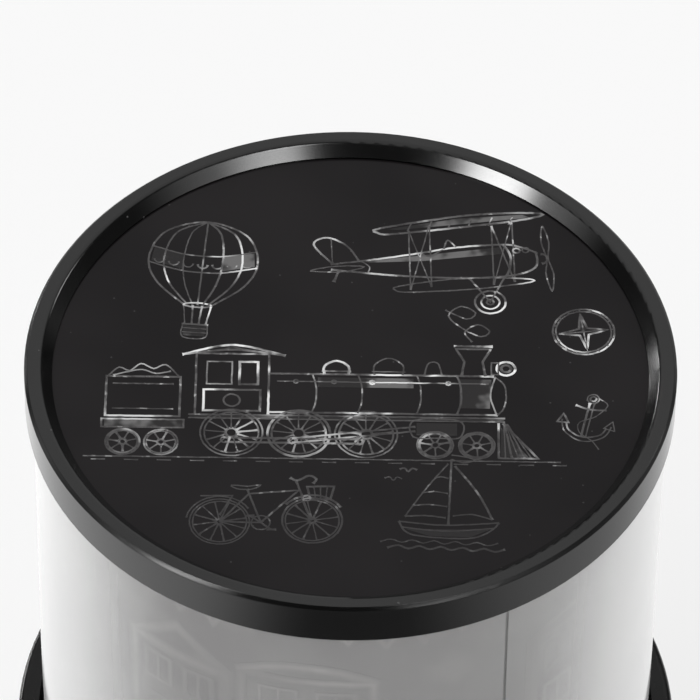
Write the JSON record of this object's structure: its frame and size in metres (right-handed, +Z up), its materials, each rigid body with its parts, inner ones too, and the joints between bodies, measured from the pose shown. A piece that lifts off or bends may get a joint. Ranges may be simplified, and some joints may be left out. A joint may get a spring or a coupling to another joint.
{
  "type": "projector night light",
  "caption": "Round night light that projects a printed top film and a side film while its cover turns on a base.",
  "frame": {"origin": "on the surface the light stands on, under the middle of the base", "axes": "+Z up along the axis the cover turns about, -Y towards the buttons, +Y towards the power socket"},
  "size_m": [0.127, 0.1279, 0.146],
  "materials": {
    "gloss_black": "glossy",
    "satin_black": "satin",
    "printed_film": "matt",
    "clear_window": "glossy, clear",
    "pale_tube": "glossy, translucent",
    "strip_film": "satin",
    "white_plastic": "satin",
    "gear_plastic": "satin",
    "steel": "bright",
    "aluminium": "satin",
    "circuit_board": "satin",
    "lamp_board": "white",
    "led_face": "glossy",
    "clear_lens": "glossy, clear",
    "dark_rubber": "matt",
    "cell_case": "glossy",
    "spring_steel": "bright",
    "switch_body": "satin"
  },
  "bodies": {
    "root": {"base_housing": "gloss_black", "bottom_cover": "satin_black", "drive_deck": "satin_black", "lamp_column": "white_plastic", "column_screws": "steel", "heat_sink": "aluminium", "led_board": "lamp_board", "white_led": "led_face", "colour_leds": "led_face", "lens_ring": "white_plastic", "lamp_lens": "clear_lens", "thrust_washer": "gear_plastic", "idler_axle": "steel", "idler_clip": "spring_steel", "gear_motor": "steel", "motor_screws": "steel", "housing_screws": "steel", "rubber_feet": "dark_rubber", "battery_door": "satin_black", "battery_door_screw": "steel", "battery_cell_1": "cell_case", "battery_cell_2": "cell_case", "battery_cell_3": "cell_case", "battery_cell_4": "cell_case", "button_contacts": "spring_steel", "leaf_contacts": "spring_steel", "control_board": "circuit_board", "tact_switches": "switch_body", "power_board": "circuit_board", "power_socket": "steel"},
    "turntable": {"turntable": "satin_black", "ring_gear": "gear_plastic"},
    "idler": {"idler_gear": "gear_plastic"},
    "pinion": {"motor_pinion": "gear_plastic", "motor_shaft": "steel"},
    "cover": {"cover_tube": "pale_tube", "cover_foot": "satin_black", "side_film": "strip_film", "film_window": "clear_window", "top_film": "printed_film"},
    "ring": {"top_ring": "gloss_black"},
    "light_button": {"light_button": "gloss_black"},
    "colour_button": {"colour_button": "gloss_black"},
    "turn_button": {"turn_button": "gloss_black"}
  },
  "joints": [
    {"name": "turntable_spin", "type": "hinge", "parent": "root", "child": "turntable", "pos_m": [0, 0, 0.0429], "axis": [0, 0, 1], "continuous": true},
    {"name": "idler_spin", "type": "hinge", "parent": "root", "child": "idler", "pos_m": [-0.00555, 0.03947, 0.0356], "axis": [0, 0, 1], "continuous": true},
    {"name": "pinion_spin", "type": "hinge", "parent": "root", "child": "pinion", "pos_m": [-0.02145, 0.04058, 0.0356], "axis": [0, 0, 1], "continuous": true},
    {"name": "cover_lift", "type": "slide", "parent": "turntable", "child": "cover", "axis": [0, 0, 1], "range_m": [0, 0.05]},
    {"name": "ring_lift", "type": "slide", "parent": "cover", "child": "ring", "axis": [0, 0, 1], "range_m": [0, 0.02]},
    {"name": "light_button_press", "type": "slide", "parent": "root", "child": "light_button", "axis": [0, 1, 0], "range_m": [0, 0.0006], "stiffness_N_per_m": 900, "springref_m": -0.0004},
    {"name": "colour_button_press", "type": "slide", "parent": "root", "child": "colour_button", "axis": [0, 1, 0], "range_m": [0, 0.0006], "stiffness_N_per_m": 900, "springref_m": -0.0004},
    {"name": "turn_button_press", "type": "slide", "parent": "root", "child": "turn_button", "axis": [0, 1, 0], "range_m": [0, 0.0006], "stiffness_N_per_m": 900, "springref_m": -0.0004}
  ],
  "couplings": [
    {"joint": "idler_spin", "follows": "turntable_spin", "ratio": -3},
    {"joint": "pinion_spin", "follows": "turntable_spin", "ratio": 5}
  ]
}
